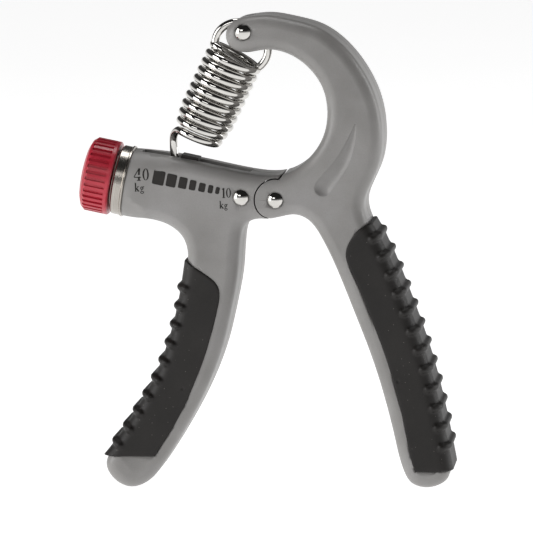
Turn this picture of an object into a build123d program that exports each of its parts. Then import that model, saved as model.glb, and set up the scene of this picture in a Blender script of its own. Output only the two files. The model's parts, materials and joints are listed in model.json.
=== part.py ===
from build123d import *
import math
import os

# Adjustable hand grip strengthener, in millimetres. It stands on the ends of its two handles.
# X runs from the adjuster handle to the hook handle, Y from front to back, and Z up.
# The origin is on the floor, midway between the two sides and on the parting plane.

# ---- driving dimensions ----
FRAME_SHIFT = (0.42, 0.0, 0.07)  # from the drawing's own origin to the floor's centre point
HALF_THICKNESS = 10.0          # from the parting plane to either face
EDGE_ROUND = 3.5               # rounding of the shells' outer edges
GRIP_PROUD = 0.35              # how far the rubber stands above the shells' faces
RUBBER_WALL = 2.4              # thickness of the rubber over the core
GRIP_ROUND = 3.9               # rounding of the rubber's outer edges

PIVOT = (3.65, 80.95)          # hinge axis, as x and z
KNUCKLE_RADIUS = 5.6
KNUCKLE_GAP = 0.35
BODY_RIVET = (-5.85, 81.75)
TIP_RIVET = (-4.15, 127.35)
RIVET_RADIUS = 1.4
RIVET_HEAD_RADIUS = 2.1
RIVET_HEAD_PROUD = 1.2
RIVET_SEAT_DEPTH = 0.4

PLATE_HALF = 2.0               # half the thickness of the steel hinge plate
PLATE_SLOT_HALF = 2.3          # half the slot in the knuckle that clears it
PLATE_RADIUS = 4.8
PLATE_TAIL_RADIUS = 3.2
BUSH_RADIUS = 2.6
BUSH_CLEARANCE = 0.05
WASHER_RADIUS = 3.6

BARREL_START = (-38.35, 85.4)  # centre of the barrel's left end
BARREL_SLOPE = 12.5             # degrees that the barrel falls towards the hinge
BARREL_END_RADIUS = 9.8
BARREL_FLARE_RADIUS = 12.7
BARREL_FLARE_LENGTH = 12.0
BORE_RADIUS = 6.6
BORE_LENGTH = 26.8
SLOT_HALF = 3.0
SLOT_START = 2.2
SLOT_END = 33.0
SLOT_FLOOR = 5.6

KNOB_RADIUS = 10.4
KNOB_NEAR = -4.2               # along the barrel's axis from the barrel's end
KNOB_FAR = -12.6
FLUTE_COUNT = 36
FLUTE_WIDTH = 0.9
FLUTE_DEPTH = 0.6
COLLAR_RADIUS = 9.75
COLLAR_LENGTH = 3.5
COLLAR_LIP_RADIUS = 10.1
SCREW_RADIUS = 3.0
SCREW_ROOT_RADIUS = 2.45
SCREW_PITCH = 2.0
SCREW_END = 28.6
NUT_CLEARANCE = 0.08
NUT_RADIUS = 6.3
NUT_START = 13.0
NUT_END = 19.0
ANCHOR_ALONG = 14.15           # lower spring hook's pin, along the barrel's axis
ANCHOR_ABOVE = 7.7             # and above it
ANCHOR_PIN_RADIUS = 1.0

WIRE_RADIUS = 1.15
SPRING_TOP = (-7.5, 119.3)     # top of the coil's axis
SPRING_LEAN = 27.6             # degrees that the coil leans from upright
COIL_RADIUS = 6.65
COIL_PITCH = 2.6
COIL_TURNS = 8.625
EYE_CENTRE = (-5.9, 123.1)
EYE_RADIUS = 7.5
EYE_SLOT_HALF = 1.55
EYE_SLOT_RADIUS = 9.3

LONG_EDGE = 30.0               # the outlines' own edges are longer than this, and the closing lines shorter
RIB_RADIUS = 1.05
HOOK_RIB_COUNT = 12
ADJUSTER_RIB_COUNT = 10
POCKET_CORNER = 1.2
POCKET_DEPTH = 5.4
STOP_LEAN = 55.0               # slope of the stop faces above the knuckle
KNUCKLE_REACH = 8.0
RIVET_DOME = 1.0
SEAT_GAP = 0.12
SCREW_SINK = 2.0
WASHER_GAP = 0.05
RUNNING_GAP = 0.3
WASHER_THICKNESS = 0.4
SPIGOT_LENGTH = 3.0
BARREL_RADIUS_REACH = 14.0
TAIL_BUSH_RADIUS = 3.6
TAIL_BUSH_END = 28.9
TAIL_JOURNAL_RADIUS = 2.3
CAP_RADIUS = 7.0               # the cap's outer radius
KNOB_WELL_RADIUS = 5.0
KNOB_WELL_FLOOR = -9.0
FLUTE_LENGTH = 5.8
FIXING_RADIUS = 1.2
THREAD_START = 2.0
THREAD_COUNT = 12
CLIP_RADIUS = 4.8
POINTER_START = 13.15
POINTER_END = 18.1
POINTER_TOP = 10.9
HOOK_ROOM_HALF = 1.45
EYE_LEFT = 200.0               # ends of the eye's arc; the wire runs straight across between them
EYE_RIGHT = -52.0
FOOT_STRAIGHT = 4.0
WIRE_BREAK = 1.8               # gap left between the coil and its lower hook, which slide apart
SCREW_HEAD_RADIUS = 2.3
SCREW_HEAD_HEIGHT = 1.6
SCREW_SHANK_RADIUS = 1.2
SCREW_DRIVE_RADIUS = 0.9
SCREW_DRIVE_DEPTH = 0.9
SCREW_TIP = -5.0
MODEL_REACH = 400.0            # a box this long and high is larger than the model
MODEL_MIDDLE = 60.0            # its middle, above the floor
HALF_SPACE = 60.0
PAST = 1.0                     # how far a cutting shape runs on past what it cuts

KNUCKLE_SIDE = 40.0
HOOK_KNUCKLE = (78.0, 257.0)   # degrees where the knuckle's arc starts and ends, at the top and below
ADJUSTER_KNUCKLE = (81.0, 247.0)
RIB_WRAP = 60.0                # degrees that a rib runs on round the grip's rounded edge
HOOK_RIB_SHARES = (0.055, 0.90)
ADJUSTER_RIB_SHARES = (0.09, 0.87)
PLATE_ROOM = 1.0
FLARE_OUTSIDE = 40.0
FLARE_PAST = 3.0
COLLAR_WALL = 1.2
COLLAR_CHAMFER = 0.4
COLLAR_STANDOFF = 0.05         # from the collar's rim to the barrel's end
LIP_START = 0.9                # the rolled lip, back from the barrel's end
LIP_CREST_START = 0.65
LIP_CREST_END = 0.25
THRUST_WASHER_INSET = 1.5
KNOB_CHAMFER = 0.3
KNOB_SHOULDER = 6.6            # where the knob's outer side starts to turn in
KNOB_BEND = 7.7
KNOB_BEND_DROP = 0.9
KNOB_RIM_DROP = 2.6
CAP_SEAT = 1.2
CAP_CROWN = 0.7
CAP_CROWN_RADIUS = 4.0
CAP_CROWN_EDGE = 0.6
FLUTE_START = 1.2
FIXING_HEAD_RADIUS = 2.9
FIXING_HEAD = 2.0
FIXING_LENGTH = 4.0
THREAD_SHAPE = (0.3, 0.5, 0.8)  # shares of the pitch where the groove's floor starts, ends and rises out
CLIP_THICKNESS = 0.8
CLIP_MOUTH = 2.6
EAR_LEAD = 1.8                 # the carriage's ears start this far ahead of the anchor pin
CARRIAGE_FLOOR = 4.6
HOOK_ROOM_LEAD = 4.0
HOOK_ROOM_END = 17.95
HOOK_ROOM_FLOOR = 3.7
HOOK_ROOM_TOP = 9.25


# ---- helpers ----
def at(x, z, y=0.0):
    """A point from its x and z, as most of the model is drawn from the front."""
    return Vector(x, y, z)


def along_barrel(along, above=0.0, y=0.0):
    """A point measured along the barrel's axis and above it."""
    slope = math.radians(BARREL_SLOPE)
    x = BARREL_START[0] + along * math.cos(slope) + above * math.sin(slope)
    z = BARREL_START[1] - along * math.sin(slope) + above * math.cos(slope)
    return Vector(x, y, z)


def outline(*stretches):
    """One closed face in the front view: two points make a line, and more make a smooth curve."""
    edges = []
    for points in stretches:
        corners = [at(x, z) for x, z in points]
        if len(corners) == 2:
            edges.append(Edge.make_line(corners[0], corners[1]))
        else:
            edges.append(Edge.make_spline(corners))
    return Face(Wire(edges))


def slab(face, near, far):
    """A front-view face given thickness, from y = near to y = far."""
    moved = face.moved(Location((0, near, 0)))
    return Solid.extrude(moved, Vector(0, far - near, 0))


def drum(centre, radius, near, far):
    """A cylinder along Y about a front-view point."""
    plane = Plane(origin=(centre[0], near, centre[1]), x_dir=(1, 0, 0), z_dir=(0, 1, 0))
    return plane * Cylinder(radius, far - near, align=(Align.CENTER, Align.CENTER, Align.MIN))


def barrel_plane(along, above=0.0):
    """A plane across the barrel whose local Z runs along its axis and local Y is up."""
    ahead = along_barrel(1.0) - along_barrel(0.0)
    return Plane(origin=along_barrel(along, above), x_dir=(0, -1, 0), z_dir=ahead)


def barrel_drum(radius, start, end):
    """A cylinder along the barrel's axis."""
    drum_solid = Cylinder(radius, end - start, align=(Align.CENTER, Align.CENTER, Align.MIN))
    return barrel_plane(start) * drum_solid


def barrel_block(start, end, low, high, half_width):
    """A box set out along the barrel: its two ends, its bottom and top, and half its width."""
    middle = (low + high) / 2
    block = Box(2 * half_width, high - low, end - start, align=(Align.CENTER, Align.CENTER, Align.MIN))
    return barrel_plane(start, middle) * block


def barrel_turning(points):
    """A solid turned about the barrel's axis, from (radius, distance along) points."""
    profile = Face(Wire.make_polygon([Vector(r, 0, t) for r, t in points], close=True))
    turned = Solid.revolve(profile, 360, Axis((0, 0, 0), (0, 0, 1)))
    return barrel_plane(0) * turned


def rounded(solid, edges, radius):
    """Fillet the edges, all together."""
    return solid.fillet(radius, edges)


def face_edges(solid, y):
    """The edges that lie in the plane at one y."""
    return [e for e in solid.edges() if all(abs(v.Y - y) < 0.01 for v in (e @ 0, e @ 0.5, e @ 1))]


# ---- outlines, as x and z ----
# Both handles are drawn a little past the knuckle, which is cut to its arc afterwards.
HOOK_OUTLINE = [
    (-2.0, 87.6), (2.0, 87.5), (5.8, 87.9), (9.0, 89.2), (13.1, 92.4), (16.8, 97.7), (18.3, 104.7),
    (17.2, 111.4), (13.1, 117.5), (7.1, 121.4), (1.4, 122.3), (-4.3, 121.7), (-8.3, 123.5),
    (-9.2, 127.3), (-6.8, 130.4), (-2.6, 131.5), (1.6, 131.8), (8.4, 130.7), (16.5, 128.2),
    (23.5, 122.9), (28.6, 116.1), (31.9, 108.8), (33.4, 99.6), (32.3, 90.4), (29.6, 84.3),
    (28.0, 79.4), (28.6, 75.6), (33.2, 66.0), (37.4, 55.3), (41.2, 44.6), (44.5, 34.0),
    (47.0, 23.2), (49.1, 13.2), (50.5, 6.4), (49.8, 2.6), (46.6, 0.4), (42.8, 0.0), (39.6, 1.3),
    (37.6, 4.6), (35.3, 13.6), (32.8, 24.5), (29.2, 36.9), (24.5, 49.8), (20.2, 61.1),
    (15.8, 70.6), (12.3, 75.2), (8.9, 76.6), (5.0, 76.1), (1.6, 75.5), (-2.0, 75.4),
]
ADJUSTER_OUTLINE = [
    (-36.4, 94.45), (-27.2, 93.0), (-16.1, 90.8), (-3.7, 88.1), (2.0, 87.5), (5.8, 87.9), (9.0, 89.2),
]
ADJUSTER_LEG = [
    (9.0, 76.6), (5.0, 76.1), (1.3, 75.5), (-2.4, 75.4), (-5.4, 73.6), (-6.6, 70.0), (-7.5, 60.9),
    (-9.6, 50.3), (-12.3, 40.0), (-17.6, 27.0), (-23.3, 16.7), (-30.0, 6.4), (-34.0, 1.9),
    (-39.6, 0.0), (-44.2, 2.4), (-46.2, 6.6), (-44.0, 11.4), (-36.2, 23.0), (-29.1, 35.9),
    (-24.3, 50.1), (-22.2, 60.0), (-21.5, 66.0), (-22.8, 70.6), (-26.8, 74.1), (-33.5, 75.9),
    (-40.4, 76.4),
]
HOOK_GRIP_OUTER = [
    (30.1, 74.4), (34.1, 66.3), (38.3, 55.6), (42.1, 44.9), (45.4, 34.2), (48.0, 23.4),
    (50.0, 13.3), (51.5, 4.8),
]
HOOK_GRIP_BORDER = [
    (51.5, 4.8), (49.2, 3.8), (45.4, 2.9), (42.4, 3.4), (40.4, 6.5), (39.5, 10.6), (37.0, 23.5),
    (33.8, 35.8), (28.9, 49.7), (24.3, 61.0), (22.9, 65.7), (24.3, 69.8), (30.1, 74.4),
]
ADJUSTER_GRIP_OUTER = [
    (-46.9, 9.2), (-42.5, 14.6), (-37.1, 22.6), (-32.1, 31.0), (-28.0, 40.7), (-25.2, 50.0),
    (-23.7, 57.0), (-22.4, 64.6),
]
ADJUSTER_GRIP_BORDER = [
    (-22.4, 64.6), (-16.4, 60.6), (-12.9, 57.2), (-13.4, 49.7), (-16.7, 38.4), (-20.7, 28.6),
    (-26.5, 17.4), (-32.3, 8.5), (-36.0, 3.9), (-39.9, 3.5), (-44.0, 6.6), (-46.9, 9.2),
]

# ---- places and runs, as x and z ----
HOOK_GRIP_REACH = [(0.0, 74.4), (0.0, 4.8)]
ADJUSTER_GRIP_REACH = [(10.0, 9.2), (10.0, 64.6)]
HOOK_CORE_SHIFT = (-2.4, -0.9)
ADJUSTER_CORE_SHIFT = (2.2, -1.2)
HOOK_SCREWS = [(23.6, 83.4), (27.0, 110.5), (9.5, 125.9)]
ADJUSTER_SCREW = (-15.5, 68.5)
HOOK_POCKETS = [
    [(23.6, 92.0), (28.0, 92.5), (29.0, 100.0), (28.5, 106.0), (23.4, 105.0), (22.4, 97.0)],
    [(20.4, 117.5), (23.6, 113.6), (26.0, 116.0), (20.6, 122.2), (15.4, 125.6), (12.6, 122.8)],
    [(20.6, 71.0), (26.4, 69.0), (31.6, 56.6), (28.4, 55.0)],
    [(29.6, 52.0), (32.8, 53.6), (36.6, 42.6), (34.2, 40.0)],
    [(35.0, 37.0), (38.0, 38.6), (41.2, 27.0), (38.4, 25.0)],
    [(39.2, 21.4), (42.2, 22.8), (44.2, 14.0), (41.2, 13.0)],
]
ADJUSTER_POCKETS = [
    [(-18.0, 64.0), (-11.4, 64.6), (-12.4, 54.0), (-18.8, 56.0)],
    [(-19.6, 52.6), (-13.8, 50.6), (-16.4, 42.0), (-22.4, 43.4)],
    [(-23.8, 40.0), (-18.0, 38.6), (-22.0, 29.0), (-28.4, 30.6)],
    [(-30.2, 27.4), (-24.0, 25.6), (-29.6, 15.6), (-36.2, 18.0)],
]
SCOOP = [                      # x, z, half width and depth, from the blunt end to the point
    (17.0, 84.3, 2.5, 1.2), (19.6, 87.6, 2.3, 1.2), (22.3, 91.2, 2.0, 1.1),
    (24.4, 95.4, 1.5, 0.9), (25.7, 99.2, 0.8, 0.5), (26.3, 101.9, 0.2, 0.12),
]


# ---- shared shapes ----
def handle_block(stretches):
    """A whole handle with its outer edges rounded, before the knuckle and the grip are cut."""
    block = slab(outline(*stretches), -HALF_THICKNESS, HALF_THICKNESS)
    edges = face_edges(block, -HALF_THICKNESS) + face_edges(block, HALF_THICKNESS)
    long_edges = [e for e in edges if e.length > LONG_EDGE]
    return rounded(block, long_edges, EDGE_ROUND)


def grip_block(outer, border, inner_side):
    """The rubber's envelope: its border, cut from a block rounded along the outer edge alone."""
    reach = [outer[-1], inner_side[1], inner_side[0], outer[0]]
    sides = [reach[i:i + 2] for i in range(3)]
    half = HALF_THICKNESS + GRIP_PROUD
    block = slab(outline(outer, *sides), -half, half)
    edges = face_edges(block, -half) + face_edges(block, half)
    outer_edges = [e for e in edges if e.geom_type == GeomType.BSPLINE]
    block = rounded(block, outer_edges, GRIP_ROUND)
    return block & slab(outline(outer, border), -half - PAST, half + PAST)


def core_of(stretches, shift):
    """The plastic core that the rubber is moulded over: the handle drawn in from its outer edge."""
    half = HALF_THICKNESS + GRIP_PROUD - RUBBER_WALL
    core = slab(outline(*stretches), -half, half)
    return core.moved(Location((shift[0], 0, shift[1])))


def ribbed(rubber, rib_places):
    """The rubber with a rounded rib at each place."""
    for place, outward in rib_places:
        rubber = rubber + grip_rib(place, outward)
    return rubber


def grip_rib(place, outward):
    """A rounded rib across the grip's outer edge, wrapped a little way on to both faces."""
    half = HALF_THICKNESS + GRIP_PROUD
    bend = GRIP_ROUND
    normal = Vector(outward[0], 0, outward[1])
    edge_point = at(*place)
    corner = edge_point - normal * bend
    points = []
    turns = (RIB_WRAP, RIB_WRAP / 2, 0)
    for side, turn in [(-1, t) for t in turns] + [(1, t) for t in reversed(turns)]:
        angle = math.radians(turn)
        across = side * (half - bend + bend * math.sin(angle))
        points.append(corner + normal * bend * math.cos(angle) + Vector(0, across, 0))
    first = Edge.make_three_point_arc(points[0], points[1], points[2])
    straight = Edge.make_line(points[2], points[3])
    last = Edge.make_three_point_arc(points[3], points[4], points[5])
    path = Wire([first, straight, last])
    section = Face(Wire.make_circle(RIB_RADIUS, Plane(origin=points[0], z_dir=first % 0)))
    rib = Solid.sweep(section, path)
    ends = [Location(points[0]) * Sphere(RIB_RADIUS), Location(points[-1]) * Sphere(RIB_RADIUS)]
    return rib + ends[0] + ends[1]


def rib_row(outer, shares, count):
    """Evenly spaced rib places along the grip's outer line, each with its outward direction."""
    line = Edge.make_spline([at(x, z) for x, z in outer])
    places = []
    first, last = shares
    for i in range(count):
        share = first + (last - first) * i / (count - 1)
        point = line @ share
        tangent = line % share
        outward = Vector(tangent.Z, 0, -tangent.X)
        if outward.X * math.copysign(1, outer[0][0]) < 0:
            outward = outward * -1
        places.append(((point.X, point.Z), (outward.X, outward.Z)))
    return places


def knuckle_cut(radius, angles, reach):
    """The sharp boundary of a knuckle: everything on the far side of its arc from the reach side."""
    start = math.radians(angles[0])
    end = math.radians(angles[1])
    middle = (start + end) / 2

    def on_arc(angle):
        return at(PIVOT[0] + radius * math.cos(angle), PIVOT[1] + radius * math.sin(angle))

    arc = Edge.make_three_point_arc(on_arc(start), on_arc(middle), on_arc(end))
    lean = math.radians(STOP_LEAN)
    top = on_arc(start) + Vector(math.cos(lean), 0, math.sin(lean)) * KNUCKLE_REACH
    low = on_arc(end) + Vector(0, 0, -KNUCKLE_REACH)
    side_top = Vector(reach, 0, top.Z)
    side_low = Vector(reach, 0, low.Z)
    edges = [
        arc,
        Edge.make_line(on_arc(end), low),
        Edge.make_line(low, side_low),
        Edge.make_line(side_low, side_top),
        Edge.make_line(side_top, top),
        Edge.make_line(top, on_arc(start)),
    ]
    return slab(Face(Wire(edges)), -HALF_THICKNESS - PAST, HALF_THICKNESS + PAST)


def pocket(points, depth):
    """A lightening pocket inside both shells: a polygon with rounded corners, sunk both ways."""
    corners = [at(x, z) for x, z in points]
    wire = Wire.make_polygon(corners, close=True)
    wire = wire.fillet_2d(POCKET_CORNER, wire.vertices())
    return slab(Face(wire), -depth, depth)


def rivet(centre):
    """A headed pin through both shells: a shaft with a domed head standing off each face."""
    face = HALF_THICKNESS - RIVET_SEAT_DEPTH
    shaft = drum(centre, RIVET_RADIUS, -face, face)
    dome_radius = (RIVET_HEAD_RADIUS ** 2 + RIVET_DOME ** 2) / (2 * RIVET_DOME)
    rise = RIVET_HEAD_PROUD + RIVET_SEAT_DEPTH - RIVET_DOME
    solid = shaft
    for side in (-1, 1):
        near, far = sorted((side * face, side * (face + rise + RIVET_DOME)))
        head = drum(centre, RIVET_HEAD_RADIUS, near, far)
        ball_y = side * (face + rise + RIVET_DOME - dome_radius)
        head = head & (Location((centre[0], ball_y, centre[1])) * Sphere(dome_radius))
        solid = solid + head
    return solid


def seats(centre):
    """The shallow seats and the hole that a rivet needs."""
    face = HALF_THICKNESS - RIVET_SEAT_DEPTH
    seat = drum(centre, RIVET_HEAD_RADIUS + SEAT_GAP, face, HALF_THICKNESS + PAST)
    other = drum(centre, RIVET_HEAD_RADIUS + SEAT_GAP, -HALF_THICKNESS - PAST, -face)
    hole = drum(centre, RIVET_RADIUS, -HALF_THICKNESS, HALF_THICKNESS)
    return [seat, other, hole]


def screw(place, tip):
    """A self-tapping screw driven from the back: a pan head in a counterbore, and its shank."""
    head_top = HALF_THICKNESS - SCREW_SINK
    head = drum(place, SCREW_HEAD_RADIUS, head_top - SCREW_HEAD_HEIGHT, head_top)
    shank = drum(place, SCREW_SHANK_RADIUS, tip, head_top - SCREW_HEAD_HEIGHT)
    slot_low = drum(place, SCREW_DRIVE_RADIUS, head_top - SCREW_DRIVE_DEPTH, head_top)
    return head + shank - slot_low


def screw_seat(place, tip):
    """The counterbore and hole for one screw."""
    head_floor = HALF_THICKNESS - SCREW_SINK - SCREW_HEAD_HEIGHT
    bore = drum(place, SCREW_HEAD_RADIUS, head_floor, HALF_THICKNESS + PAST)
    return [bore, drum(place, SCREW_SHANK_RADIUS, tip, head_floor)]


def cut(solid, tools):
    """Take each tool away from the solid in turn."""
    for tool in tools:
        solid = solid - tool
    return solid


def front_half(solid):
    """The part of a solid in front of the parting plane."""
    half = Box(MODEL_REACH, HALF_SPACE, MODEL_REACH)
    return solid & Location((0, -HALF_SPACE / 2, MODEL_MIDDLE)) * half


def back_half(solid):
    """The part of a solid behind the parting plane."""
    half = Box(MODEL_REACH, HALF_SPACE, MODEL_REACH)
    return solid & Location((0, HALF_SPACE / 2, MODEL_MIDDLE)) * half


# ---- hook handle ----
def build_hook_handle():
    """The hook handle's pieces by name: two shells, their rubber, and what holds them together."""
    stretches = [HOOK_OUTLINE, [HOOK_OUTLINE[-1], HOOK_OUTLINE[0]]]
    block = handle_block(stretches) - knuckle_cut(KNUCKLE_RADIUS, HOOK_KNUCKLE, -KNUCKLE_SIDE)
    envelope = grip_block(HOOK_GRIP_OUTER, HOOK_GRIP_BORDER, HOOK_GRIP_REACH)
    core = core_of(stretches, HOOK_CORE_SHIFT)
    ribs = rib_row(HOOK_GRIP_OUTER, HOOK_RIB_SHARES, HOOK_RIB_COUNT)
    shells = (block - envelope) + (block & envelope & core)
    rubber = ribbed(envelope - (block & envelope & core), ribs)

    tools = [pocket(points, POCKET_DEPTH) for points in HOOK_POCKETS]
    tools.append(drum(PIVOT, PLATE_RADIUS + PLATE_ROOM, -PLATE_SLOT_HALF, PLATE_SLOT_HALF))
    tools.append(drum(EYE_CENTRE, EYE_SLOT_RADIUS, -EYE_SLOT_HALF, EYE_SLOT_HALF))
    tools += seats(PIVOT) + seats(TIP_RIVET) + scoop_tools()
    for place in HOOK_SCREWS:
        tools += screw_seat(place, SCREW_TIP)
    shells = cut(shells, tools)

    washers = []
    for side in (-1, 1):
        near, far = sorted((side * (PLATE_HALF + WASHER_GAP), side * PLATE_SLOT_HALF))
        washers.append(drum(PIVOT, WASHER_RADIUS, near, far) - drum(PIVOT, RIVET_RADIUS, near, far))
    return {
        "hook_shell_front": front_half(shells),
        "hook_shell_back": back_half(shells),
        "hook_grip": rubber,
        "pivot_rivet": rivet(PIVOT),
        "tip_rivet": rivet(TIP_RIVET),
        "pivot_washers": Compound(children=washers),
        "hook_screws": Compound(children=[screw(place, SCREW_TIP) for place in HOOK_SCREWS]),
    }


def scoop_tools():
    """The teardrop scoop in each face of the hook, from a ball at its blunt end to its point."""
    tools = []
    for side in (-1, 1):
        rings = []
        for i, (x, z, half_width, depth) in enumerate(SCOOP):
            radius = (half_width ** 2 + depth ** 2) / (2 * depth)
            before = SCOOP[max(i - 1, 0)]
            after = SCOOP[min(i + 1, len(SCOOP) - 1)]
            heading = Vector(after[0] - before[0], 0, after[1] - before[1])
            centre = Vector(x, side * (HALF_THICKNESS + radius - depth), z)
            rings.append(Wire.make_circle(radius, Plane(origin=centre, x_dir=(0, 1, 0), z_dir=heading)))
            if i == 0:
                tools.append(Location(centre) * Sphere(radius))
        tools.append(Solid.make_loft(rings))
    return tools


# ---- adjuster handle ----
def build_adjuster_handle():
    """The adjuster handle's pieces by name, from the barrel's collar to the hinge plate."""
    top, leg = ADJUSTER_OUTLINE, ADJUSTER_LEG
    stretches = [top, [top[-1], leg[0]], leg, [leg[-1], top[0]]]
    block = handle_block(stretches)
    far_side = knuckle_cut(KNUCKLE_RADIUS + KNUCKLE_GAP, ADJUSTER_KNUCKLE, KNUCKLE_SIDE)
    block = block - far_side - barrel_flare()
    envelope = grip_block(ADJUSTER_GRIP_OUTER, ADJUSTER_GRIP_BORDER, ADJUSTER_GRIP_REACH)
    core = core_of(stretches, ADJUSTER_CORE_SHIFT)
    ribs = rib_row(ADJUSTER_GRIP_OUTER, ADJUSTER_RIB_SHARES, ADJUSTER_RIB_COUNT)
    shells = (block - envelope) + (block & envelope & core)
    rubber = ribbed(envelope - (block & envelope & core), ribs)

    plate = hinge_plate()
    tail_bush = barrel_drum(TAIL_BUSH_RADIUS, BORE_LENGTH, TAIL_BUSH_END)
    tools = [pocket(points, POCKET_DEPTH) for points in ADJUSTER_POCKETS]
    tools.append(barrel_drum(BORE_RADIUS, -PAST, BORE_LENGTH))
    tools.append(barrel_block(SLOT_START, SLOT_END, SLOT_FLOOR, BARREL_RADIUS_REACH, SLOT_HALF))
    tools.append(tail_bush)
    tools.append(plate)
    tools += seats(BODY_RIVET) + screw_seat(ADJUSTER_SCREW, SCREW_TIP)
    shells = cut(shells, tools)
    hole_radius = TAIL_JOURNAL_RADIUS + BUSH_CLEARANCE
    shaft_hole = barrel_drum(hole_radius, BORE_LENGTH - PAST, TAIL_BUSH_END + PAST)
    bush = drum(PIVOT, BUSH_RADIUS, -PLATE_HALF, PLATE_HALF)
    bush = bush - drum(PIVOT, RIVET_RADIUS + BUSH_CLEARANCE, -PLATE_HALF, PLATE_HALF)
    plate = plate - drum(PIVOT, BUSH_RADIUS, -PLATE_HALF, PLATE_HALF)
    plate = plate - drum(BODY_RIVET, RIVET_RADIUS, -PLATE_HALF, PLATE_HALF)
    return {
        "adjuster_shell_front": front_half(shells - shaft_hole),
        "adjuster_shell_back": back_half(shells - shaft_hole),
        "adjuster_grip": rubber,
        "hinge_plate": plate,
        "pivot_bush": bush,
        "body_rivet": rivet(BODY_RIVET),
        "end_collar": end_collar(),
        "thrust_washer": barrel_turning([
            (SCREW_RADIUS + NUT_CLEARANCE, -COLLAR_LENGTH - WASHER_THICKNESS),
            (COLLAR_RADIUS - THRUST_WASHER_INSET, -COLLAR_LENGTH - WASHER_THICKNESS),
            (COLLAR_RADIUS - THRUST_WASHER_INSET, -COLLAR_LENGTH),
            (SCREW_RADIUS + NUT_CLEARANCE, -COLLAR_LENGTH),
        ]),
        "screw_tail_bush": tail_bush - shaft_hole,
        "adjuster_screw": screw(ADJUSTER_SCREW, SCREW_TIP),
    }


def barrel_flare():
    """What is cut away so that the barrel's end is round and swells into the flat-sided handle."""
    length = BARREL_FLARE_LENGTH + FLARE_PAST
    outside = Cylinder(FLARE_OUTSIDE, length, align=(Align.CENTER, Align.CENTER, Align.MIN))
    cone = Cone(BARREL_END_RADIUS, BARREL_FLARE_RADIUS, BARREL_FLARE_LENGTH,
                align=(Align.CENTER, Align.CENTER, Align.MIN))
    return (barrel_plane(-FLARE_PAST) * outside) - (barrel_plane(0) * cone)


def hinge_plate():
    """The steel tongue that carries the pivot: a round eye, and an arm back to the body rivet."""
    eye = drum(PIVOT, PLATE_RADIUS, -PLATE_HALF, PLATE_HALF)
    tail = drum(BODY_RIVET, PLATE_TAIL_RADIUS, -PLATE_HALF, PLATE_HALF)
    arm_points = [
        (PIVOT[0], PIVOT[1] + PLATE_TAIL_RADIUS), (BODY_RIVET[0], BODY_RIVET[1] + PLATE_TAIL_RADIUS),
        (BODY_RIVET[0], BODY_RIVET[1] - PLATE_TAIL_RADIUS), (PIVOT[0], PIVOT[1] - PLATE_TAIL_RADIUS),
    ]
    arm = slab(Face(Wire.make_polygon([at(x, z) for x, z in arm_points])), -PLATE_HALF, PLATE_HALF)
    return eye + arm + tail


def end_collar():
    """The steel ferrule on the barrel's end: a cup with a rolled lip and a spigot into the bore."""
    hole = SCREW_RADIUS + NUT_CLEARANCE
    return barrel_turning([
        (hole, -COLLAR_LENGTH), (COLLAR_RADIUS - COLLAR_CHAMFER, -COLLAR_LENGTH),
        (COLLAR_RADIUS, -COLLAR_LENGTH + COLLAR_CHAMFER), (COLLAR_RADIUS, -LIP_START),
        (COLLAR_LIP_RADIUS, -LIP_CREST_START), (COLLAR_LIP_RADIUS, -LIP_CREST_END),
        (COLLAR_RADIUS, -COLLAR_STANDOFF), (BORE_RADIUS, -COLLAR_STANDOFF),
        (BORE_RADIUS, SPIGOT_LENGTH), (BORE_RADIUS - COLLAR_WALL, SPIGOT_LENGTH),
        (BORE_RADIUS - COLLAR_WALL, -COLLAR_LENGTH + COLLAR_WALL), (hole, -COLLAR_LENGTH + COLLAR_WALL),
    ])


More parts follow.
